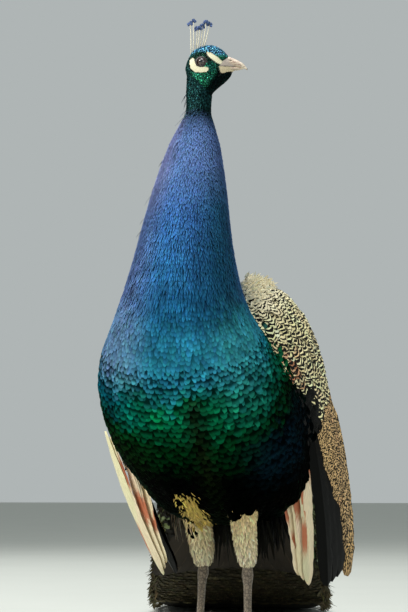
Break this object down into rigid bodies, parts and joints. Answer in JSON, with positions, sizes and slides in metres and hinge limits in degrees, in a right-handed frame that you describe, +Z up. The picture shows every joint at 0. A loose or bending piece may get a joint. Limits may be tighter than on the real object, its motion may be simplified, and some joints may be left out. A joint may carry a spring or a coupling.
{
  "type": "indian peacock, still life-size model",
  "caption": "Adult male Indian peafowl standing upright, head turned to its left, wings drooped, folded train trailing on the floor.",
  "frame": {"origin": "on the floor, under the middle of the bird's own box", "axes": "+Y from the breast to the train's end, +X to the bird's own left, +Z up from the floor"},
  "size_m": [0.5836, 1.6704, 0.9339],
  "materials": {
    "blue_plumage": "short feathers, glossy, metallic blue",
    "green_plumage": "scale-like feathers, glossy, metallic blue-green",
    "bronze_train": "loose barbs, glossy, metallic bronze-green",
    "barred_feathers": "matt, cream barred with black-brown",
    "black_feathers": "satin",
    "cream_primaries": "matt, cream and chestnut",
    "brown_feathers": "matt",
    "thigh_down": "matt, downy",
    "crest_shafts": "bare cream shafts",
    "horn": "satin",
    "scaly_skin": "satin, scaled",
    "claw": "satin",
    "eye": "wet gloss"
  },
  "bodies": {
    "root": {"head": "green_plumage", "neck_upper": "blue_plumage", "neck_lower": "blue_plumage", "trunk": "green_plumage", "bill_upper": "horn", "bill_lower": "horn", "eye_left": "eye", "eye_right": "eye", "crest": "crest_shafts", "tail": "brown_feathers", "train_base": "bronze_train", "train_middle": "bronze_train", "train_end": "bronze_train", "thigh_left": "thigh_down", "shank_left": "scaly_skin", "foot_left": "scaly_skin", "spur_left": "claw", "claw_left_inner": "claw", "claw_left_middle": "claw", "claw_left_outer": "claw", "claw_left_hind": "claw", "wing_left_coverts": "barred_feathers", "wing_left_tertials": "barred_feathers", "wing_left_secondaries": "black_feathers", "wing_left_primaries": "cream_primaries", "thigh_right": "thigh_down", "shank_right": "scaly_skin", "foot_right": "scaly_skin", "spur_right": "claw", "claw_right_inner": "claw", "claw_right_middle": "claw", "claw_right_outer": "claw", "claw_right_hind": "claw", "wing_right_coverts": "barred_feathers", "wing_right_tertials": "barred_feathers", "wing_right_secondaries": "black_feathers", "wing_right_primaries": "cream_primaries"}
  },
  "joints": []
}
